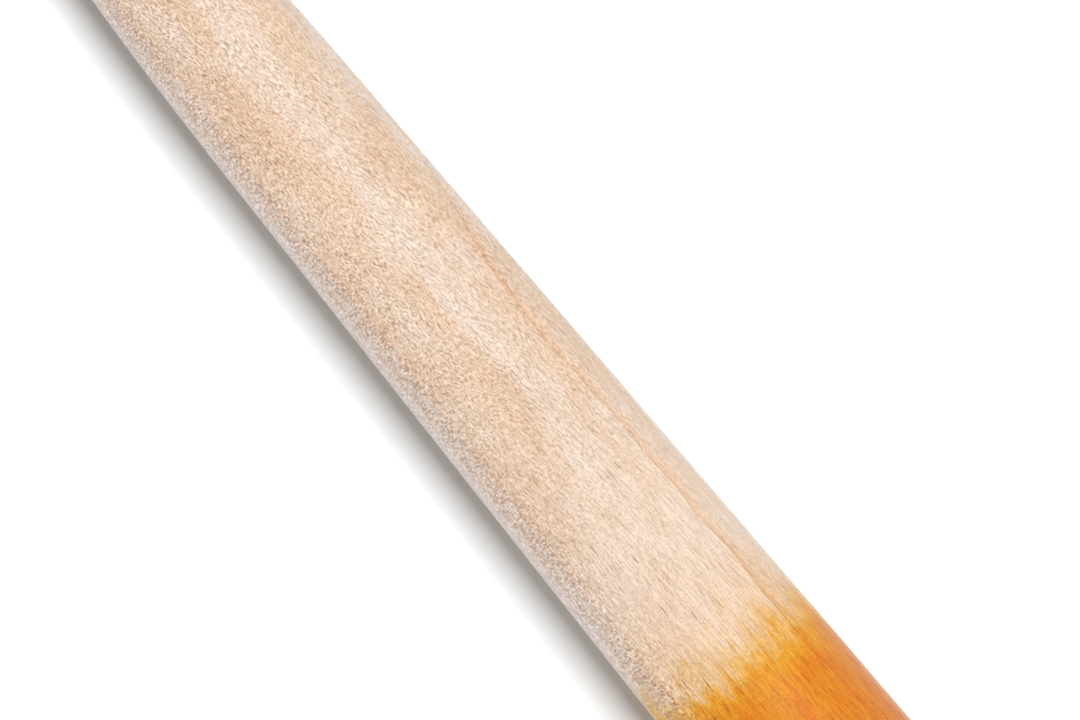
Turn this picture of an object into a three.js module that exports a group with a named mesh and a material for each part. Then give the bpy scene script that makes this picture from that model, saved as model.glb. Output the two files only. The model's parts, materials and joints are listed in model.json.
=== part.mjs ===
// A full-size wooden baseball bat with a wound handle grip, lying at rest on a level surface.
// Millimetres, +Z up. The bat runs along +X, from the knob to the barrel, and touches the surface
// at the knob and at the barrel's crest. The origin is on that surface, under the bat's middle.
import * as THREE from "three";

// Driving dimensions of the turned body. Stations are distances along the axis from the knob's face.
const LENGTH = 864; // 34 inches
const BARREL_RADIUS = 31.1; // at the crest
const HANDLE_RADIUS = 12.5;
const KNOB_RADIUS = 25.4;
const KNOB_FACE_RADIUS = 17;
const KNOB_CREST = 10; // station of the knob's widest ring
const NECK = 42; // where the knob's flare runs out into the handle
const WAIST = 150; // the handle's thinnest station
const TAPER_START = 250;
const BARREL_START = 471; // from here the barrel is very nearly a plain cone
const CREST_START = 735;
const BARREL_CREST = 805;
const CONE_SLOPE = 0.0224; // growth of the radius per millimetre where the cone begins
const CREST_SLOPE = 0.0205; // and where it runs into the crest
const CONE_LENGTH = CREST_START - BARREL_START;
const CREST_START_RADIUS = BARREL_RADIUS - (CREST_SLOPE * (BARREL_CREST - CREST_START)) / 2;
const BARREL_START_RADIUS = CREST_START_RADIUS - (CONE_LENGTH * (CONE_SLOPE + CREST_SLOPE)) / 2;

// The cupped end
const RIM_RADIUS = 22.5; // outer edge of the flat rim
const CUP_RADIUS = 18;
const CUP_DEPTH = 25;
const CUP_LIP = 1; // rounding of the cup's edge

// The handle's dressing: an underlay, the strip wound over it and the tape that closes it
const CLEARANCE = 0.3; // between one layer and the next
const UNDERLAY_THICKNESS = 0.4;
const STRIP_THICKNESS = 1.2;
const STRIP_WIDTH = 26;
const STRIP_SEAM = 0.4; // between one turn and the next
const STRIP_TAIL = 0.08; // of a turn, cut off each pointed end of the strip
const GRIP_START = 34;
const GRIP_END = 272;
const FINISH_TAPE_THICKNESS = 0.4;
const FINISH_TAPE_OVERLAP = 14; // how far the tape reaches over the strip
const FINISH_TAPE_WIDTH = 26;

const SIDES = 32; // facets round the axis
const CURVE_STEPS = 7; // facets along each curved stretch of the outline
const FACET_PHASE = Math.PI / SIDES; // puts a flat facet, and not an edge, underneath

const materials = {
  wood: new THREE.MeshStandardMaterial({ color: 0xeed6c3, roughness: 0.55, metalness: 0 }),
  underlay: new THREE.MeshStandardMaterial({ color: 0xd9d4c8, roughness: 0.8, metalness: 0 }),
  strip: new THREE.MeshStandardMaterial({ color: 0x2b2320, roughness: 0.6, metalness: 0 }),
  finishTape: new THREE.MeshStandardMaterial({ color: 0x1b1b1c, roughness: 0.4, metalness: 0 }),
};

// A cubic stretch from the path's end to (station, radius) that leaves and arrives at the given slopes.
function ease(path, station, radius, slopeOut, slopeIn, reachOut, reachIn) {
  const from = path.currentPoint;
  path.bezierCurveTo(
    from.x + reachOut,
    from.y + reachOut * slopeOut,
    station - reachIn,
    radius - reachIn * slopeIn,
    station,
    radius,
  );
}

// The knob: a flat face, a rounded rim and a flare down to the handle.
function addKnob(path) {
  path.moveTo(0, 0);
  path.lineTo(0, KNOB_FACE_RADIUS);
  path.bezierCurveTo(0, 22.5, 4, KNOB_RADIUS, KNOB_CREST, KNOB_RADIUS);
  ease(path, NECK, HANDLE_RADIUS + 0.4, 0, -0.01, 14, 28);
}

// The handle, which waists slightly, and the taper that opens from it to the barrel.
function addHandleAndTaper(path) {
  ease(path, WAIST, HANDLE_RADIUS - 0.2, -0.01, 0, 40, 40);
  ease(path, TAPER_START, HANDLE_RADIUS, 0, 0.006, 40, 40);
  ease(path, BARREL_START, BARREL_START_RADIUS, 0.006, CONE_SLOPE, 85, 75);
}

// The barrel: a long cone, a shallow crest and a rounded tip that ends in a flat rim.
function addBarrel(path) {
  const third = CONE_LENGTH / 3;
  ease(path, CREST_START, CREST_START_RADIUS, CONE_SLOPE, CREST_SLOPE, third, third);
  ease(path, BARREL_CREST, BARREL_RADIUS, CREST_SLOPE, 0, 23, 23);
  path.bezierCurveTo(838, BARREL_RADIUS, LENGTH, 30.8, LENGTH, RIM_RADIUS);
}

// The cup hollowed into the barrel's end, with a softened edge.
function addCup(path) {
  const wall = CUP_RADIUS - CUP_LIP;
  path.lineTo(LENGTH, CUP_RADIUS);
  path.quadraticCurveTo(LENGTH, wall, LENGTH - CUP_LIP, wall);
  path.bezierCurveTo(LENGTH - 15, wall, LENGTH - CUP_DEPTH, 10, LENGTH - CUP_DEPTH, 0);
}

// Half of the body's section as points (station, radius), from the knob's centre to the cup's.
function bodyOutline() {
  const path = new THREE.Path();
  addKnob(path);
  addHandleAndTaper(path);
  addBarrel(path);
  addCup(path);
  return path.getPoints(CURVE_STEPS);
}

const outline = bodyOutline();

// The body's radius at a station between the knob's crest and the barrel's.
function radiusAt(station) {
  const next = outline.findIndex((point) => point.x > station && point.x > KNOB_CREST);
  const [a, b] = [outline[next - 1], outline[next]];
  return THREE.MathUtils.mapLinear(station, a.x, b.x, a.y, b.y);
}

// A solid of revolution about Y from points (station, radius).
function turned(points) {
  const profile = points.map((point) => new THREE.Vector2(point.y, point.x));
  return new THREE.LatheGeometry(profile, SIDES, FACET_PHASE);
}

// A thin sleeve that follows the handle between two stations, inner and outer being its distances
// from the wood at a station.
function sleeve(stations, inner, outer) {
  const inside = stations.map((s) => new THREE.Vector2(s, radiusAt(s) + inner(s)));
  const outside = stations.map((s) => new THREE.Vector2(s, radiusAt(s) + outer(s)));
  return turned([...inside.reverse(), ...outside, inside[0]]);
}

// Two stations and the body's own rings between them, so that a sleeve follows the wood exactly.
function stationsBetween(from, to) {
  const rings = outline.map((point) => point.x).filter((s) => s > from && s < to);
  return [from, ...rings, to];
}

// The grip strip: a long flat box bent round the handle in a helix. Both ends run out to a point,
// so that the winding begins and ends square to the axis.
function woundStrip(inner, outer) {
  const turns = (GRIP_END - GRIP_START) / STRIP_WIDTH + 1;
  const steps = Math.round((turns - 2 * STRIP_TAIL) * SIDES);
  const geometry = new THREE.BoxGeometry(steps, 1, 1, steps, 1, 1);
  const position = geometry.getAttribute("position");
  for (let i = 0; i < position.count; i++) {
    const step = position.getX(i) + steps / 2;
    const turn = STRIP_TAIL + step / SIDES;
    const lead = GRIP_START + STRIP_WIDTH * turn - STRIP_SEAM;
    const trail = GRIP_START + STRIP_WIDTH * (turn - 1);
    const station = position.getY(i) > 0 ? Math.min(lead, GRIP_END) : Math.max(trail, GRIP_START);
    const radius = radiusAt(station) + (position.getZ(i) > 0 ? outer : inner);
    const angle = FACET_PHASE + (step * 2 * Math.PI) / SIDES;
    position.setXYZ(i, radius * Math.sin(angle), station, radius * Math.cos(angle));
  }
  return geometry;
}

function named(name, geometry, material) {
  const mesh = new THREE.Mesh(geometry, material);
  mesh.name = name;
  return mesh;
}

function makeUnderlay() {
  const stations = stationsBetween(GRIP_START + 2, GRIP_END - 4);
  const thickness = CLEARANCE + UNDERLAY_THICKNESS;
  return named("grip_underlay", sleeve(stations, () => CLEARANCE, () => thickness), materials.underlay);
}

const STRIP_INNER = 2 * CLEARANCE + UNDERLAY_THICKNESS;
const STRIP_OUTER = STRIP_INNER + STRIP_THICKNESS;

function makeStrip() {
  return named("grip_wrap", woundStrip(STRIP_INNER, STRIP_OUTER), materials.strip);
}

// The closing tape steps down from the strip's end to the bare wood.
function makeFinishTape() {
  const from = GRIP_END - FINISH_TAPE_OVERLAP;
  const step = GRIP_END + CLEARANCE;
  const stations = [from, step, step + 2, from + FINISH_TAPE_WIDTH];
  const inner = (s) => CLEARANCE + (s <= step ? STRIP_OUTER : 0);
  const outer = (s) => inner(s) + FINISH_TAPE_THICKNESS;
  return named("grip_finish_tape", sleeve(stations, inner, outer), materials.finishTape);
}

// The bat's pitch when its knob and its barrel both touch a level surface: the slope of the
// line that passes over the knob's crest and touches the barrel, along the middle of a facet.
function restingPitch() {
  const slopes = outline
    .filter((point) => point.x > BARREL_START)
    .map((point) => (point.y - KNOB_RADIUS) / (point.x - KNOB_CREST));
  return Math.atan(Math.max(...slopes) * Math.cos(Math.PI / SIDES));
}

function makeBat() {
  const upright = new THREE.Group(); // the bat standing on its knob, its axis along Y
  upright.add(named("bat_body", turned(outline), materials.wood));
  upright.add(makeUnderlay(), makeStrip(), makeFinishTape());
  upright.rotation.z = -Math.PI / 2;

  const lying = new THREE.Group();
  lying.add(upright);
  lying.rotation.y = -restingPitch();

  const bat = new THREE.Group();
  bat.add(lying);
  bat.updateMatrixWorld(true);
  const box = new THREE.Box3().setFromObject(bat, true);
  const middle = box.getCenter(new THREE.Vector3());
  lying.position.set(-middle.x, -middle.y, -box.min.z);
  return bat;
}

export default makeBat();
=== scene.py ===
"""The looks of a full-size wooden baseball bat lying on a pale floor.

The bat is turned from one billet of pale maple. The barrel's end is stained amber, the tip is
cupped, and the handle is wound with a perforated leather strip over a cloth underlay, closed by a
band of vinyl tape. Everything is in metres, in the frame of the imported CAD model, except inside
the materials, which work in millimetres.
"""

import json
import math

import bpy
import numpy as np
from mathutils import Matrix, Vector


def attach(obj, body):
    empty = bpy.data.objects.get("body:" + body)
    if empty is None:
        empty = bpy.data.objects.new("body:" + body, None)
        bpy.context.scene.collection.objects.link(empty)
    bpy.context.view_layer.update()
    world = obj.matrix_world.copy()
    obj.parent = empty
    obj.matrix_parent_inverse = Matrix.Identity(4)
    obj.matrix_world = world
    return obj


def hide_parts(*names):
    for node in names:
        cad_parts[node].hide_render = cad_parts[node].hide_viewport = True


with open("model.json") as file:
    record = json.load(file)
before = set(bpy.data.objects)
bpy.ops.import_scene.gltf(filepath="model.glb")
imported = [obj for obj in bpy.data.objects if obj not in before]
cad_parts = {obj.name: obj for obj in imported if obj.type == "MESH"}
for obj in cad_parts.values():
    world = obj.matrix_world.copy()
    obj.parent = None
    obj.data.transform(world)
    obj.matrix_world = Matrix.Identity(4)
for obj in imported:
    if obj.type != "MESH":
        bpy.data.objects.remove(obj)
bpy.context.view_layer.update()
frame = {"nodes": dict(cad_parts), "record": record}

MM = 0.001
BODY = "root"

# ---------------------------------------------------------------- the bat's own frame

mounts = {mount["name"]: mount for mount in frame["record"]["mounts"]}
KNOB_CENTRE = Vector(mounts["knob_end_face"]["pos_m"])
AXIS = -Vector(mounts["knob_end_face"]["axis"])  # from the knob towards the barrel
SIDE = Vector((0, 0, 1)).cross(AXIS).normalized()  # level, +Y
TOP = AXIS.cross(SIDE)
PITCH = math.atan2(AXIS.z, AXIS.x)


def place(station, radius, angle):
    """The point at a station along the axis, a radius from it and an angle from the top towards
    SIDE. Stations and radii are in metres, and may be arrays."""
    station, radius, angle = np.broadcast_arrays(station, radius, angle)
    up = radius * np.cos(angle)
    across = radius * np.sin(angle)
    return (
        np.array(KNOB_CENTRE)
        + station[..., None] * np.array(AXIS)
        + up[..., None] * np.array(TOP)
        + across[..., None] * np.array(SIDE)
    )


def stations_and_radii(node):
    """Each vertex of a CAD node as (station, radius), rounded to 10 nanometres."""
    points = np.array([vertex.co for vertex in frame["nodes"][node].data.vertices])
    points = points - np.array(KNOB_CENTRE)
    station = points @ np.array(AXIS)
    radius = np.linalg.norm(points - station[:, None] * np.array(AXIS), axis=1)
    return np.round(np.stack([station, radius], 1), 8)


def rings(points):
    """The different (station, radius) pairs among the points, sorted by station."""
    tolerance = 0.02 * MM
    kept = []
    for point in points[np.lexsort((points[:, 1], points[:, 0]))]:
        if not any(np.abs(point - other).max() < tolerance for other in kept):
            kept.append(point)
    return np.array(kept)


# ---------------------------------------------------------------- the turned outline


def smooth_curve(points, step):
    """A smooth curve through the points, or the straight line between two, as points at most
    about a step apart."""
    points = np.asarray(points)
    chords = np.diff(points, axis=0)
    lengths = np.linalg.norm(chords, axis=1)
    slopes = chords / lengths[:, None]
    tangents = np.concatenate([slopes, slopes[-1:]])  # which stay as they are for two points
    before, after = lengths[:-1, None], lengths[1:, None]
    tangents[1:-1] = (slopes[:-1] * after + slopes[1:] * before) / (before + after)
    tangents[0] = 2 * slopes[0] - tangents[1]
    tangents[-1] = 2 * slopes[-1] - tangents[-2]
    curve = []
    for i, length in enumerate(lengths):
        count = max(1, math.ceil(length / step))
        t = (np.arange(count) / count)[:, None]
        start, end = points[i], points[i + 1]
        leave, arrive = tangents[i] * length, tangents[i + 1] * length
        curve.append(
            (2 * t**3 - 3 * t**2 + 1) * start
            + (t**3 - 2 * t**2 + t) * leave
            + (3 * t**2 - 2 * t**3) * end
            + (t**3 - t**2) * arrive
        )
    return np.concatenate(curve + [points[-1:]])


def bat_outline(step):
    """Half of the bat's section, from the knob's centre round to the cup's centre."""
    nearly = MM / 1000
    ring = rings(stations_and_radii("bat_body"))
    station, radius = ring.T
    cup_floor = station[radius < nearly].max()
    rim_radius = radius[station > station.max() - 10 * nearly].min()
    in_cup = (station >= cup_floor - nearly) & (radius <= rim_radius + nearly)
    outside = ring[~in_cup & (radius > nearly)]
    cup = ring[in_cup][::-1]
    cup = cup[np.lexsort((-cup[:, 1], -cup[:, 0]))]
    knob_face = smooth_curve(np.array([[0.0, 0.0], outside[0]]), step)
    barrel_rim = smooth_curve(np.array([outside[-1], cup[0]]), step)
    stretches = [knob_face[:-1], smooth_curve(outside, step)[:-1], barrel_rim[:-1]]
    return np.concatenate(stretches + [smooth_curve(cup, step)])


OUTLINE_STEP = 1.4 * MM
outline = bat_outline(OUTLINE_STEP)


def wood_radius(station):
    """The bat's radius along the handle, where the outline only rises in station."""
    handle = outline[: len(outline) // 2]
    return np.interp(station, handle[:, 0], handle[:, 1])


# ---------------------------------------------------------------- the grip's winding


def reach(node):
    """The first and the last station of a CAD node."""
    station = stations_and_radii(node)[:, 0]
    return station.min(), station.max()


GRIP_START, GRIP_END = reach("grip_wrap")
TAPE_START, TAPE_END = reach("grip_finish_tape")
STRIP_PITCH = 26.0 * MM
STRIP_PHASE = 0.0644  # where its turns are counted from, in turns from the top towards SIDE
STRIP_LEAD = GRIP_START + STRIP_PHASE * STRIP_PITCH  # where its edge passes over the top
STRIP_WIDTH = 29.0 * MM  # each turn covers the last one's edge by the difference
STRIP_FLOOR = 1.0 * MM  # from the wood to the strip's underside
STRIP_THICKNESS = 1.2 * MM
STRIP_EDGE = 0.45 * MM  # the strip is pared this thin at both edges
PARED = 4.0 * MM  # how far in from an edge the paring starts
PADDING = 0.12 * MM  # how much a turn swells in the middle
GAP = 0.03 * MM  # between one layer of the dressing and the next
TAPE_THICKNESS = 0.4 * MM


def eased(t):
    """0 up to t = 0, 1 from t = 1, and level at both ends in between."""
    t = np.clip(t, 0, 1)
    return t * t * (3 - 2 * t)


def rounded(from_edge, width):
    """The share of its full height that a rounded edge has at a distance from the edge."""
    t = np.clip(from_edge / width, 0, 1)
    return np.sqrt(1 - (1 - t) ** 2)


def pared(from_edge):
    """The strip's thickness at a distance from its edge."""
    t = np.clip(from_edge / PARED, 0, 1)
    return STRIP_EDGE + (STRIP_THICKNESS - STRIP_EDGE) * t * (2 - t)


def strip_under(u):
    """Height over the wood of the strip's underside, at a distance u from its covering edge. It
    lies on the turn below along that edge, and comes down to the floor beyond it."""
    overlap = STRIP_WIDTH - STRIP_PITCH
    below = STRIP_FLOOR + pared(overlap - u) + GAP
    let_down = eased((u - overlap) / (1.2 * MM))
    return below + (STRIP_FLOOR - below) * let_down


def strip_top(u):
    """Height over the wood of the strip's outer face, a little padded in the middle."""
    thickness = np.minimum(pared(u), pared(STRIP_WIDTH - u))
    padding = PADDING * np.sin(math.pi * np.clip(u / STRIP_PITCH, 0, 1))
    return strip_under(u) + thickness + padding


# ---------------------------------------------------------------- mesh making


def new_object(name, vertices, faces, material):
    mesh = bpy.data.meshes.new(name)
    mesh.from_pydata([tuple(v) for v in vertices], [], faces)
    mesh.validate()
    mesh.polygons.foreach_set("use_smooth", [True] * len(mesh.polygons))
    mesh.materials.append(material)
    piece = bpy.data.objects.new(name, mesh)
    bpy.context.scene.collection.objects.link(piece)
    return piece


def tube_faces(rows, columns):
    """Quads between rows of vertices, where each row is a closed ring of so many columns."""
    faces = []
    for i in range(rows - 1):
        a, b = i * columns, (i + 1) * columns
        for j in range(columns):
            k = (j + 1) % columns
            faces.append((a + j, b + j, b + k, a + k))
    return faces


def swept_faces(rows, columns):
    """The faces of a section of so many columns swept along the rows, with a cap at each end."""
    last = (rows - 1) * columns
    caps = [tuple(reversed(range(columns))), tuple(range(last, last + columns))]
    return tube_faces(rows, columns) + caps


def turned_mesh(profile, sides):
    """A solid of revolution whose profile starts and ends on the axis."""
    angle = np.arange(sides) * 2 * math.pi / sides
    inner = profile[1:-1]
    skin = place(inner[:, 0, None], inner[:, 1, None], angle[None, :]).reshape(-1, 3)
    ends = place(profile[[0, -1], 0], 0.0, 0.0)
    faces = tube_faces(len(inner), sides)
    first, last = len(skin), len(skin) + 1
    base = (len(inner) - 1) * sides
    for j in range(sides):
        k = (j + 1) % sides
        faces.append((first, j, k))
        faces.append((last, base + k, base + j))
    return np.concatenate([skin, ends]), faces


# ---------------------------------------------------------------- shader graphs


class Graph:
    """A material's node graph, with a short call for each kind of node that is used. An input
    is a number, a tuple or the output of another call."""

    def __init__(self, name):
        self.material = bpy.data.materials.new(name)
        self.material.use_nodes = True
        self.tree = self.material.node_tree
        self.tree.nodes.clear()

    def node(self, kind, inputs=None, **settings):
        node = self.tree.nodes.new("ShaderNode" + kind)
        for key, value in settings.items():
            setattr(node, key, value)
        for key, value in (inputs or {}).items():
            if isinstance(value, bpy.types.NodeSocket):
                self.tree.links.new(value, node.inputs[key])
            else:
                node.inputs[key].default_value = value
        return node

    def math(self, operation, *values):
        return self.node("Math", dict(enumerate(values)), operation=operation).outputs[0]

    def add(self, a, b):
        return self.math("ADD", a, b)

    def subtract(self, a, b):
        return self.math("SUBTRACT", a, b)

    def times(self, a, b):
        return self.math("MULTIPLY", a, b)

    def step(self, value, low, high, out_low=0.0, out_high=1.0):
        """Rises smoothly from out_low to out_high as value goes from low to high."""
        inputs = {0: value, 1: low, 2: high, 3: out_low, 4: out_high}
        return self.node("MapRange", inputs, interpolation_type="SMOOTHSTEP").outputs[0]

    def vector(self, x, y, z):
        return self.node("CombineXYZ", {0: x, 1: y, 2: z}).outputs[0]

    def parts(self, vector):
        return tuple(self.node("SeparateXYZ", {0: vector}).outputs)

    def scaled(self, x, y, z, sizes):
        """A vector of x, y and z, each in units of its own size."""
        return self.vector(*(self.times(v, 1 / size) for v, size in zip((x, y, z), sizes)))

    def noise(self, vector, detail=2.0, roughness=0.5):
        """Noise from 0 to 1, about 0.5, whose waves are one unit of the vector long."""
        inputs = {"Vector": vector, "Scale": 1.0, "Detail": detail, "Roughness": roughness}
        return self.node("TexNoise", inputs).outputs[0]

    def noise_vector(self, vector):
        inputs = {"Vector": vector, "Scale": 1.0, "Detail": 1.0}
        return self.parts(self.node("TexNoise", inputs).outputs[1])

    def centred(self, value, span):
        """A value from 0 to 1 as one about 0, spread over this span."""
        return self.times(self.subtract(value, 0.5), span)

    def cells(self, vector):
        """Voronoi cells: the distance to the nearest centre and a random colour's parts."""
        cell = self.node("TexVoronoi", {"Vector": vector, "Scale": 1.0})
        return cell.outputs["Distance"], self.parts(cell.outputs["Color"])

    def mix(self, factor, a, b, blend="MIX"):
        """Colour a where the factor is 0 and b, or a blended with b, where it is 1."""
        inputs = {"Factor": factor, 6: a, 7: b}
        return self.node("Mix", inputs, data_type="RGBA", blend_type=blend).outputs[2]

    def bump(self, height, distance):
        """A normal bumped by a height from 0 to 1, where 1 is this distance in metres."""
        inputs = {"Height": height, "Distance": distance, "Strength": 1.0}
        return self.node("Bump", inputs).outputs[0]

    def finish(self, **inputs):
        """The material with these inputs on its Principled BSDF, "_" standing for a space."""
        names = {key.replace("_", " "): value for key, value in inputs.items()}
        shader = self.node("BsdfPrincipled", names)
        output = self.node("OutputMaterial")
        self.tree.links.new(shader.outputs[0], output.inputs[0])
        return self.material

    def bat_position(self):
        """Station, across and up in the bat's own frame, in millimetres."""
        here = self.node("TexCoord").outputs["Object"]
        offset = self.node(
            "VectorMath", {0: here, 1: tuple(KNOB_CENTRE)}, operation="SUBTRACT"
        ).outputs[0]
        turn = self.node(
            "Mapping", {"Vector": offset, "Rotation": (0, PITCH, 0), "Scale": (1000,) * 3}
        )
        return self.parts(turn.outputs[0])


def srgb(red, green, blue):
    """A colour given in display values from 0 to 255, as the linear values that shaders take."""
    def linear(value):
        value = value / 255
        return value / 12.92 if value <= 0.04045 else ((value + 0.055) / 1.055) ** 2.4

    return (linear(red), linear(green), linear(blue), 1.0)


# ---------------------------------------------------------------- maple

STUDIO_GAIN = 1.54  # how much brighter than itself a surface shows, lying under the studio's light
STAIN_START = 705.0  # where the amber stain begins, in millimetres from the knob
STAIN_FULL = 722.0  # where it has its full strength
BARK_TILT = math.radians(32)  # from the top towards SIDE, to the face nearest the bark
RING_SPACING = 5.4  # from one growth ring to the next, in millimetres
MAIN_RING = 4  # the one growth ring that stands out, counted from the heart of the billet
FULL_STAIN = (0.93, 0.475, 0.004)  # what the full stain lets through of red, green and blue

# The sizes of the wood's features in millimetres: along the grain, along the rings, towards the
# bark.
LONG_DASH = (13.0, 0.8, 0.8)
DASH = (8.0, 0.52, 0.52)
SHORT_DASH = (2.5, 0.37, 0.37)
RAY = (0.62, 0.5, 2.0)
RAY_RIBBON = (0.42, 0.5, 2.0)
LONG_FIBRE = (7.0, 0.42, 0.42)
SHORT_FIBRE = (1.6, 0.25, 0.25)
GRAIN_SWAY = (24, 12, 12)
RING_WANDER = (95, 30, 40)
RING_RIPPLE = (16, 5, 9)
TONE = (70, 12, 12)
# The size of the patches of painted sheen, which are also the smoother patches.
SHEEN_PATCH = (34, 13, 13)
DASH_PATCH = (24, 8, 8)
WOBBLE = (7, 3.5, 3.5)
STAIN_FRONT = (15, 9, 9)
STAIN_WICK = (12, 0.9, 0.9)
STAIN_SPOT = (3.4, 2.2, 2.2)
STAIN_PATCH = (13, 5, 5)


def shown(red, green, blue):
    """The surface colour that shows as this display value, 0 to 255, in the studio's light."""
    colour = srgb(red, green, blue)
    return tuple(value / STUDIO_GAIN for value in colour[:3]) + (1.0,)


LIGHT_WOOD = shown(241, 210, 183)
DARK_WOOD = shown(233, 200, 171)
# The whitish colour of the painted sheen patches.
PAINTED_SHEEN_WOOD = shown(243, 220, 202)
# The colour of a painted highlight: the key light's sheen along the top.
PAINTED_SHEEN_BAND = shown(247, 228, 213)
BARREL_WOOD = shown(248, 222, 200)
QUARTER_WOOD = shown(231, 211, 195)
# The colour of painted light: the white floor's light on the flanks by it.
PAINTED_RIM_LIGHT = shown(246, 230, 221)
RING_GLOW = shown(240, 186, 136)
RING_LINE = shown(220, 156, 100)
RED_FLECK = shown(200, 134, 94)
GREY_FLECK = shown(186, 166, 146)


def grain_frame(g):
    """The wood's own directions: along the grain, tangent to the rings and towards the bark."""
    station, across, up = g.bat_position()
    cos, sin = math.cos(BARK_TILT), math.sin(BARK_TILT)
    tangent = g.subtract(g.times(across, cos), g.times(up, sin))
    bark = g.add(g.times(across, sin), g.times(up, cos))
    return station, tangent, bark


def curled_grain(g, station, tangent, bark):
    """The two cross-grain directions, bent so that the grain runs aslant near the handle."""
    slant = g.times(g.math("SMOOTH_MIN", g.subtract(station, 630), 0.0, 60.0), 0.15)
    _, sway_t, sway_b = g.noise_vector(g.scaled(station, tangent, bark, GRAIN_SWAY))
    curl = g.step(station, 480, 700, 4.6, 1.3)
    tangent = g.subtract(g.add(tangent, g.centred(sway_t, curl)), slant)
    bark = g.add(bark, g.centred(sway_b, curl))
    return tangent, bark


def growth_rings(g, station, tangent, bark):
    """Where a year's growth ends: a line that is sharp on the bark side, the softer glow inwards
    of it, and how far the one outstanding ring is present."""
    wander = g.noise(g.scaled(station, tangent, bark, RING_WANDER), detail=1.5)
    ripple = g.noise(g.scaled(station, tangent, bark, RING_RIPPLE), detail=2)
    climb = g.times(g.subtract(station, 600), 0.0165)
    dip = g.add(g.step(station, 505, 558, 5.0, 0.0), g.step(station, 520, 592, 1.9, 0.0))
    height = g.add(g.subtract(bark, climb), dip)
    height = g.add(height, g.centred(wander, 2.0))
    height = g.add(height, g.centred(ripple, 0.7))
    count = g.times(g.add(height, 0.1), 1 / RING_SPACING)
    phase = g.math("FRACT", count)
    main = g.math("COMPARE", g.math("FLOOR", count), float(MAIN_RING), 0.5)
    outstanding = g.times(main, g.step(tangent, 0, 4))
    outstanding = g.times(outstanding, g.step(station, 500, 545))
    return g.math("POWER", phase, 28.0), g.math("POWER", phase, 7.0), outstanding


def specks(g, coordinates, reach, sharp, rarity):
    """Scattered spots, each with its own strength: how present the spot is, and its shade."""
    distance, (pick, depth, shade) = g.cells(coordinates)
    spot = g.times(g.step(distance, reach, sharp), g.step(pick, rarity, rarity + 0.25))
    return g.times(spot, g.add(0.35, g.times(depth, 0.65))), shade


def soaked(g, colour, grain, line, glow, pores, end_grain):
    """The colour after staining. The stain goes on from the barrel's end, and its edge is
    uneven: it runs further along pores and ring lines, and misses small spots. End grain drinks
    the most."""
    station, tangent, bark, tangent_grain, bark_grain = grain
    front = g.noise(g.scaled(station, tangent, bark, STAIN_FRONT), 3, 0.6)
    wick = g.noise(g.scaled(station, tangent_grain, bark_grain, STAIN_WICK), 3, 0.65)
    spots = g.noise(g.scaled(station, tangent, bark, STAIN_SPOT), 2.5, 0.55)
    soak = g.add(station, g.centred(front, 27))
    soak = g.add(soak, g.centred(wick, 3.5))
    soak = g.add(soak, g.centred(spots, 15))
    soak = g.add(soak, g.times(glow, 3))
    early = g.add(soak, g.centred(wick, 24))
    halo = g.step(early, STAIN_START - 38, STAIN_START + 2, 0.0, 0.24)
    edge = g.step(soak, STAIN_START - 15, STAIN_START + 11, 0.0, 0.6)
    depth = g.step(soak, STAIN_START - 2, STAIN_FULL, 0.0, 0.5)
    amount = g.add(g.add(halo, edge), depth)
    uneven = g.noise(g.scaled(station, tangent, bark, STAIN_PATCH), 3)
    amount = g.times(amount, g.step(uneven, 0.3, 0.7, 0.88, 1.12))
    amount = g.times(amount, g.add(1.0, g.times(line, 0.2)))
    amount = g.times(amount, g.add(1.0, g.times(pores, 0.3)))
    amount = g.times(amount, g.add(1.0, g.times(end_grain, 0.22)))
    soaked_through = g.vector(*(g.math("POWER", channel, amount) for channel in FULL_STAIN))
    patchy = g.mix(amount, (1.0, 1.0, 1.0, 1.0), FULL_STAIN + (1.0,))
    tint = g.mix(amount, patchy, soaked_through)
    return g.mix(1.0, colour, tint, blend="MULTIPLY")


def shaded(g, colour, shade):
    """The colour made lighter or darker by a shade about 0, a little more so in its blue."""
    parts = (g.add(1.0, g.times(shade, share)) for share in (1.0, 1.2, 1.42))
    return g.mix(1.0, colour, g.vector(*parts), blend="MULTIPLY")


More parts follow.
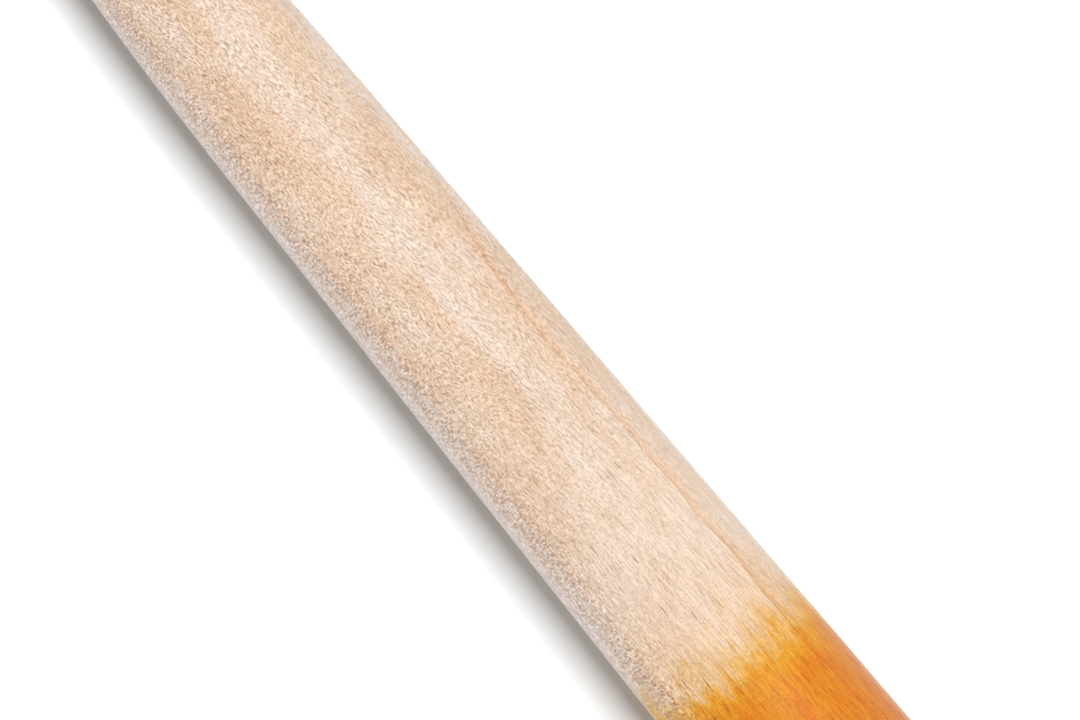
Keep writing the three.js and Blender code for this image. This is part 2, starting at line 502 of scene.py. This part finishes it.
def maple():
    """Pale maple, stained amber from the barrel's end."""
    g = Graph("maple")
    station, tangent, bark = grain_frame(g)
    tangent_grain, bark_grain = curled_grain(g, station, tangent, bark)
    line, glow, outstanding = growth_rings(g, station, tangent, bark)

    # Which way the surface faces: towards_bark is 1 on the face nearest the bark, 0 on the two
    # faces square to it, where the rays lie broadside, and -1 on the far face. The ends of the
    # bat are end grain.
    from_heart = g.math("SQRT", g.add(g.times(bark, bark), g.times(tangent, tangent)))
    wobble = g.noise(g.scaled(station, tangent, bark, WOBBLE), detail=2.5)
    towards_bark = g.math("DIVIDE", bark, from_heart)
    facing = g.math("ABSOLUTE", g.add(towards_bark, 0.02))
    facing = g.add(facing, g.centred(wobble, 0.16))
    normal_x = g.parts(g.node("TexCoord").outputs["Normal"])[0]
    end_grain = g.step(g.math("ABSOLUTE", normal_x), 0.4, 0.85)
    side_grain = g.subtract(1.0, end_grain)
    turned_away = g.times(g.step(facing, 0.85, 0.2), side_grain)
    quarter = g.times(g.step(facing, 0.34, 0.1), side_grain)
    quarter = g.times(quarter, g.step(station, 300, 480, 0.3, 1.0))
    figured = g.math("MAXIMUM", g.step(station, 700, 560), g.times(turned_away, 0.85))

    # Vessels: dark dashes along the grain, long and sparse towards the barrel's end, short and
    # crowded elsewhere.
    long_dash, _ = specks(
        g, g.scaled(station, tangent_grain, bark_grain, LONG_DASH), 0.27, 0.1, 0.1
    )
    dash, _ = specks(g, g.scaled(station, tangent_grain, bark_grain, DASH), 0.33, 0.1, 0.1)
    short_dash, _ = specks(
        g, g.scaled(station, tangent_grain, bark_grain, SHORT_DASH), 0.38, 0.1, 0.05
    )
    dashes = g.add(g.times(long_dash, 1.15), g.times(dash, 0.75))
    dashes = g.add(dashes, g.times(short_dash, g.times(figured, 0.75)))
    patches = g.noise(g.scaled(station, tangent, bark, DASH_PATCH), detail=2)
    dashes = g.times(dashes, g.step(patches, 0.3, 0.65, 0.5, 1.1))

    # Rays: thin ribbons that stand on the tangent direction, seen end-on as specks on the bark
    # face and broadside as flecks on the two faces square to it.
    ray, ray_shade = specks(g, g.scaled(station, tangent_grain, bark, RAY), 0.6, 0.34, 0.0)

    # Fine fibre texture and broad patches of tone.
    fibre_long = g.noise(g.scaled(station, tangent_grain, bark_grain, LONG_FIBRE), 2, 0.6)
    fibre_short = g.noise(g.scaled(station, tangent_grain, bark_grain, SHORT_FIBRE), 2, 0.65)
    ribbon = g.noise(g.scaled(station, tangent, bark, RAY_RIBBON), 2, 0.6)
    tone = g.noise(g.scaled(station, tangent, bark, TONE), 3, 0.55)
    sheen_patches = g.noise(g.scaled(station, tangent, bark, SHEEN_PATCH), 2.5, 0.55)

    # The wood's colour: patchy, with whitish patches of painted sheen, a painted highlight band
    # near the top and a paler barrel,
    #     # greyer on the two faces square to the bark, and palest on the flanks just past those, as
    #     painted light from the floor.
    wood = g.mix(g.step(tone, 0.3, 0.7), LIGHT_WOOD, DARK_WOOD)
    # Painted sheen: whitish patches, the same ones that are made smoother in the roughness below.
    wood = g.mix(g.step(sheen_patches, 0.45, 0.7, 0.0, 0.8), wood, PAINTED_SHEEN_WOOD)
    # Painted highlight: a pale band along the upper side, where the key light's sheen falls.
    lean = g.add(g.add(g.math("DIVIDE", tangent, from_heart), 0.35), g.subtract(sheen_patches, 0.5))
    painted_sheen_band = g.times(g.step(g.math("ABSOLUTE", lean), 0.3, 0.05), g.step(bark, 0, 5, 0.0, 0.5))
    wood = g.mix(painted_sheen_band, wood, PAINTED_SHEEN_BAND)
    wood = g.mix(g.step(station, 605, 665, 0.0, 0.4), wood, BARREL_WOOD)
    wood = g.mix(g.times(quarter, 0.75), wood, QUARTER_WOOD)
    # Painted light: the flanks just past square to the bark, down by the floor, are paled as if lit
    # by the white floor, and their flecks fade there.
    painted_rim_light = g.times(g.step(towards_bark, -0.05, -0.17), g.step(towards_bark, -0.8, -0.5))
    painted_rim_light = g.times(painted_rim_light, side_grain)
    wood = g.mix(g.times(painted_rim_light, 0.8), wood, PAINTED_RIM_LIGHT)

    # The growth rings, faint but for the outstanding one.
    bare = g.step(station, 694, 716, 1.0, 0.3)
    outstanding = g.add(g.times(outstanding, bare), g.times(end_grain, 0.5))
    tint = g.times(glow, g.add(0.08, g.times(outstanding, 0.42)))
    wood = g.mix(tint, wood, RING_GLOW)
    edge = g.times(line, g.add(0.08, g.times(outstanding, 0.34)))
    wood = g.mix(edge, wood, RING_LINE)

    # The texture, as shades and flecks on that colour.
    coarse = g.add(0.1, g.times(figured, g.add(2.1, g.times(turned_away, 1.2))))
    long_shade = g.centred(fibre_long, g.subtract(0.85, g.times(figured, 0.4)))
    shade = g.subtract(g.add(long_shade, g.centred(fibre_short, coarse)), g.times(dashes, 0.42))
    shade = g.subtract(shade, g.times(g.times(ray, 0.22), g.subtract(1.0, quarter)))
    shade = g.add(shade, g.centred(ribbon, g.times(quarter, 1.1)))
    wood = shaded(g, wood, g.add(shade, 0.06))

    greyer = g.add(g.times(ray_shade, 0.6), g.times(quarter, 0.5))
    fleck = g.mix(g.step(greyer, 0.5, 0.95), RED_FLECK, GREY_FLECK)
    flecked = g.subtract(g.step(quarter, 0.0, 0.5), g.times(painted_rim_light, 0.6))
    wood = g.mix(g.times(ray, flecked), wood, fleck)

    grain = (station, tangent, bark, tangent_grain, bark_grain)
    colour = soaked(g, wood, grain, line, glow, dashes, end_grain)

    relief = g.add(g.times(fibre_long, 0.3), g.times(fibre_short, g.add(0.3, figured)))
    relief = g.subtract(relief, g.times(g.add(dashes, ray), 0.3))
    normal = g.bump(relief, 0.06 * MM)
    roughness = g.step(g.add(g.times(fibre_short, 0.4), g.times(sheen_patches, 0.6)), 0.35, 0.65, 0.7, 0.52)
    return g.finish(
        Base_Color=colour,
        Roughness=roughness,
        Normal=normal,
        Sheen_Weight=0.2,
        Specular_IOR_Level=0.25,
    )


# ---------------------------------------------------------------- the dressing's materials

CLOTH_THREAD = 0.7  # from one thread round the handle to the next, in millimetres
CLOTH_THREADS_ROUND = 120.0  # how many threads run along the handle

HOLE_ROW = 3.0  # from one row of holes in the leather to the next, in millimetres
HOLE_SPACING = 4.1  # from one hole to the next along a row, in millimetres
HOLE_RADIUS = 0.6
HOLES_PER_TURN = 22
HOLED = (3.0, 24.0)  # the part of the strip's width that has holes, in millimetres


def cloth_tape():
    """Off-white cloth in a plain weave."""
    g = Graph("cloth_tape")
    station, across, up = g.bat_position()
    angle = g.math("ARCTAN2", across, up)
    warp = g.math("SINE", g.times(station, 2 * math.pi / CLOTH_THREAD))
    weft = g.math("SINE", g.times(angle, CLOTH_THREADS_ROUND))
    weave = g.times(g.add(g.times(warp, weft), 1.0), 0.5)
    colour = g.mix(weave, srgb(205, 199, 186), srgb(228, 223, 211))
    normal = g.bump(weave, 0.08 * MM)
    return g.finish(Base_Color=colour, Roughness=0.85, Normal=normal)


def grip_leather():
    """Dark brown leather, a little worn at its edges, with staggered rows of holes that are painted
    in: near-black discs of painted shade in dimples darkened as painted shade.
    """
    g = Graph("grip_leather")
    station, across, up = g.bat_position()
    turn = g.times(g.math("ARCTAN2", across, up), 0.5 / math.pi)
    pitches = g.add(g.times(g.subtract(station, STRIP_LEAD / MM), MM / STRIP_PITCH), turn)
    width = g.times(g.math("FRACT", pitches), STRIP_PITCH / MM)

    row = g.times(width, 1 / HOLE_ROW)
    stagger = g.times(g.math("MODULO", g.math("FLOOR", row), 2.0), 0.5)
    column = g.add(g.times(turn, HOLES_PER_TURN), stagger)
    hole_x = g.centred(g.math("FRACT", column), HOLE_SPACING)
    hole_y = g.centred(g.math("FRACT", row), HOLE_ROW)
    apart = g.math("SQRT", g.add(g.times(hole_x, hole_x), g.times(hole_y, hole_y)))
    first, last = HOLED
    band = g.times(g.step(width, first - 0.2, first), g.step(width, last + 0.2, last))
    hole = g.times(g.step(apart, HOLE_RADIUS + 0.1, HOLE_RADIUS - 0.1), band)
    dimple = g.times(g.step(apart, 1.3, 0.5), band)

    distance, (shade, _, _) = g.cells(g.scaled(station, across, up, (0.8, 0.8, 0.8)))
    grain = g.add(g.step(distance, 0.0, 0.6), g.noise(g.scaled(station, across, up, (0.5,) * 3)))
    wear = g.noise(g.scaled(station, across, up, (17, 9, 9)), 4, 0.6)
    edge = g.times(g.step(width, 1.6, 0.2), g.step(wear, 0.3, 0.6))
    colour = g.mix(g.step(wear, 0.3, 0.7), srgb(62, 39, 27), srgb(88, 57, 40))
    colour = g.mix(g.times(shade, 0.25), colour, srgb(42, 27, 20))
    colour = g.mix(g.times(edge, 0.55), colour, srgb(122, 88, 64))
    # Painted shade: the dimples round the holes are darkened and the holes are near-black, though
    # the strip is not cut through.
    colour = g.mix(g.times(dimple, 0.35), colour, srgb(34, 22, 16))
    colour = g.mix(hole, colour, srgb(12, 8, 6))
    relief = g.subtract(g.times(grain, 0.16), g.add(g.times(dimple, 0.35), g.times(hole, 0.65)))
    roughness = g.step(g.add(wear, g.times(dimple, 0.3)), 0.3, 0.8, 0.42, 0.66)
    normal = g.bump(relief, 0.5 * MM)
    return g.finish(
        Base_Color=colour, Roughness=roughness, Normal=normal, Specular_IOR_Level=0.3
    )


def vinyl_tape():
    """Black vinyl with fine creases along the way it was pulled."""
    g = Graph("vinyl_tape")
    station, across, up = g.bat_position()
    crease = g.noise(g.scaled(station, across, up, (0.8, 5, 5)), 3, 0.6)
    smudge = g.noise(g.scaled(station, across, up, (9, 9, 9)), 3, 0.6)
    colour = g.mix(g.step(smudge, 0.35, 0.7), srgb(24, 24, 26), srgb(36, 36, 38))
    roughness = g.step(smudge, 0.3, 0.7, 0.3, 0.44)
    return g.finish(Base_Color=colour, Roughness=roughness, Normal=g.bump(crease, 0.12 * MM))


# ---------------------------------------------------------------- pieces


def make_bat():
    vertices, faces = turned_mesh(outline, sides=128)
    bat = new_object("bat_wood", vertices, faces, maple())
    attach(bat, BODY)
    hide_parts("bat_body")
    return bat


def dress_cad_node(node, material):
    mesh = frame["nodes"][node].data
    mesh.materials.clear()
    mesh.materials.append(material)


def make_strip():
    """The leather strip: a section swept round the handle, each turn over the edge of the last.
    Where it starts and ends it is cut square to the handle, so it tapers to a point there."""
    per_turn = 96
    lead_in, cut_short = 0.1, 0.02  # in turns, so that neither point is a sliver
    turns = (GRIP_END - GRIP_START) / STRIP_PITCH + 1.0
    turn = np.arange(-lead_in, turns - cut_short, 1 / per_turn)[:, None]
    covering = GRIP_START + STRIP_PITCH * (turn - 1)
    low = np.maximum(covering, GRIP_START)
    high = np.minimum(covering + STRIP_WIDTH, GRIP_END)

    # The section's points, as shares of its width: out along the top, back along the underside.
    edge = np.array([0.0, 0.0015, 0.005, 0.011, 0.02, 0.035])
    over = np.concatenate([edge, np.linspace(0.06, 0.94, 30), 1 - edge[::-1]])[None, :]
    back = np.linspace(0.97, 0.03, 12)[None, :]
    outer = low + (high - low) * over
    inner = low + (high - low) * back
    rounding = rounded(np.minimum(outer - low, high - outer), 0.35 * MM)
    edge_height = 0.06 * MM
    u = outer - covering
    height = strip_top(u) - strip_under(u)
    top = strip_under(u) + edge_height + (height - edge_height) * rounding
    under = strip_under(inner - covering)

    station = np.concatenate([outer, inner], 1)
    radius = wood_radius(station) + np.concatenate([top, under], 1)
    angle = -2 * math.pi * (turn - STRIP_PHASE)
    vertices = place(station, radius, angle).reshape(-1, 3)
    strip = new_object("grip_strip", vertices, swept_faces(*station.shape), grip_leather())
    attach(strip, BODY)
    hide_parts("grip_wrap")


def below_tape(station, angle):
    """Height over the wood of what the finish tape is pulled over: the strip and then the wood."""
    turn = STRIP_PHASE - angle / (2 * math.pi)
    u = np.mod(station - GRIP_START - STRIP_PITCH * turn, STRIP_PITCH)
    nearby = np.array([-0.8, -0.4, 0.0, 0.4, 0.8]) * MM
    soft = sum(strip_top(np.mod(u + shift, STRIP_PITCH)) for shift in nearby) / len(nearby)
    soft = np.maximum(soft, strip_top(u))
    on_wood = 0.05 * MM  # the gap that is left past the step down
    fall = eased((station - GRIP_END + 0.1 * MM) / (2.6 * MM))
    return soft + (on_wood - soft) * fall


def make_tape():
    """The finish tape: one turn and a third of vinyl, creased where it steps down to the wood."""
    turns, per_turn, lap = 1.34, 120, 0.03
    start_angle = 2.4
    turn = (np.arange(int(turns * per_turn)) / per_turn)[:, None]
    angle = 2 * math.pi * turn + start_angle

    # The section's points: out along the top, back along the underside. The second turn is laid
    # a little further along, and climbs onto the first.
    creep = 0.7 * MM * np.clip(turn - 1 + lap, 0, 1)
    width = TAPE_END - TAPE_START - 0.3 * MM
    outer = TAPE_START + width * np.linspace(0, 1, 54)[None, :] + creep
    inner = outer[:, ::-1][:, 3:-3:4]
    climb = (TAPE_THICKNESS + 0.02 * MM) * eased((turn - 1 + 2 * lap) / lap)

    # Creases: a few leaning waves, close to the step.
    rng = np.random.default_rng(7)
    crease = np.zeros_like(outer)
    for waves in (9, 14, 23, 31):
        phase, lean = rng.uniform(0, 6.3), rng.uniform(-260, 260)
        crease = crease + np.sin(waves * angle + lean * (outer - GRIP_END) + phase)
    near_step = np.exp(-(((outer - GRIP_END - 1.2 * MM) / (2.2 * MM)) ** 2))
    crease = np.abs(0.05 * MM * near_step * (crease + 1.0))

    from_edge = np.minimum(outer - outer[:, :1], outer[:, -1:] - outer)
    rounding = 0.25 + 0.75 * rounded(from_edge, 0.3 * MM)
    top = below_tape(outer, angle) + GAP + climb + TAPE_THICKNESS * rounding + crease
    under = below_tape(inner, angle) + GAP + climb
    station = np.concatenate([outer, inner], 1)
    radius = wood_radius(station) + np.concatenate([top, under], 1)
    vertices = place(station, radius, angle).reshape(-1, 3)
    faces = [face[::-1] for face in swept_faces(*station.shape)]  # wound against the strip
    tape = new_object("finish_tape", vertices, faces, vinyl_tape())
    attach(tape, BODY)
    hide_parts("grip_finish_tape")


bat = make_bat()
make_strip()
make_tape()
dress_cad_node("grip_underlay", cloth_tape())

# ---------------------------------------------------------------- floor, light and camera

FLOOR_HALF = 1.5  # half the floor's side
FLOOR_GLOW = (0.55, 1.3)  # how far from the middle its glow starts, and where it is full
ROOM_LIGHT = 0.28  # the light from all round, as a share of the white of the backdrop
LIT_STATION = 600 * MM  # where along the bat the lights are aimed
VIEW_STATION = 594 * MM  # where along the bat the camera looks, and how far to its side
VIEW_OFFSET = 13.2 * MM
VIEW_WIDTH = 330 * MM  # across the whole picture
VIEW_TURN = math.radians(50.5)


def make_floor():
    """A pale sheet that glows towards its edges, so that it runs into the white backdrop."""
    g = Graph("floor_paint")
    x, y, _ = g.parts(g.node("TexCoord").outputs["Object"])
    away = g.math("SQRT", g.add(g.times(x, x), g.times(y, y)))
    glow = g.mix(g.step(away, *FLOOR_GLOW), (0.0, 0.0, 0.0, 1.0), (1.0, 1.0, 1.0, 1.0))
    floor_material = g.finish(
        Base_Color=(0.775, 0.8, 0.815, 1.0),
        Roughness=0.9,
        Emission_Color=glow,
        Emission_Strength=1.0,
    )
    level = min(vertex.co.z for vertex in bat.data.vertices)
    corners = [(-1, -1), (1, -1), (1, 1), (-1, 1)]
    vertices = [(x * FLOOR_HALF, y * FLOOR_HALF, level) for x, y in corners]
    floor = new_object("floor", vertices, [(0, 1, 2, 3)], floor_material)


def add_light(name, distance, elevation, size, power):
    """A soft box that faces the barrel, at a distance and an elevation in degrees, which is
    measured in the plane across the bat, from the +Y side over the top."""
    light = bpy.data.lights.new(name, "AREA")
    light.shape = "RECTANGLE"
    light.size, light.size_y = size
    light.energy = power
    lamp = bpy.data.objects.new(name, light)
    bpy.context.scene.collection.objects.link(lamp)
    angle = math.radians(elevation)
    away = Vector((0, math.cos(angle), math.sin(angle)))
    lamp.location = Vector(place(LIT_STATION, 0.0, 0.0)) + distance * away
    lamp.rotation_euler = (angle - math.pi / 2, 0, 0)
    lamp.visible_camera = False


def light_studio():
    """Even white light all round with a white backdrop behind it, a key light from over the bat
    and a fill from each side."""
    world = bpy.data.worlds.new("studio")
    bpy.context.scene.world = world
    world.use_nodes = True
    nodes, links = world.node_tree.nodes, world.node_tree.links
    dim = nodes["Background"]
    dim.inputs["Strength"].default_value = ROOM_LIGHT
    backdrop = nodes.new("ShaderNodeBackground")
    backdrop.inputs["Strength"].default_value = 1.0
    for shader in (dim, backdrop):
        shader.inputs["Color"].default_value = (1.0, 1.0, 1.0, 1.0)
    seen = nodes.new("ShaderNodeLightPath").outputs["Is Camera Ray"]
    blend = nodes.new("ShaderNodeMixShader")
    links.new(seen, blend.inputs[0])
    links.new(dim.outputs[0], blend.inputs[1])
    links.new(backdrop.outputs[0], blend.inputs[2])
    links.new(blend.outputs[0], nodes["World Output"].inputs[0])
    add_light("key", distance=2.6, elevation=76, size=(1.6, 0.85), power=80)
    add_light("left_fill", distance=2.4, elevation=170, size=(1.6, 0.6), power=24)
    add_light("right_fill", distance=2.4, elevation=28, size=(1.6, 0.6), power=8)


def add_camera():
    """Looks straight down on the middle of the barrel, turned so that the barrel points down
    and to the right."""
    aim = Vector(place(VIEW_STATION, 0.0, 0.0)) + VIEW_OFFSET * SIDE
    focal, sensor = 200.0, 36.0
    camera_data = bpy.data.cameras.new("camera")
    camera_data.lens = focal
    camera_data.sensor_width = sensor
    camera_data.clip_end = 20
    camera = bpy.data.objects.new("camera", camera_data)
    bpy.context.scene.collection.objects.link(camera)
    camera.location = aim + Vector((0, 0, VIEW_WIDTH * focal / sensor))
    camera.rotation_euler = (0, 0, VIEW_TURN)
    bpy.context.scene.camera = camera


make_floor()
light_studio()
add_camera()
bpy.context.scene.view_settings.view_transform = "Standard"
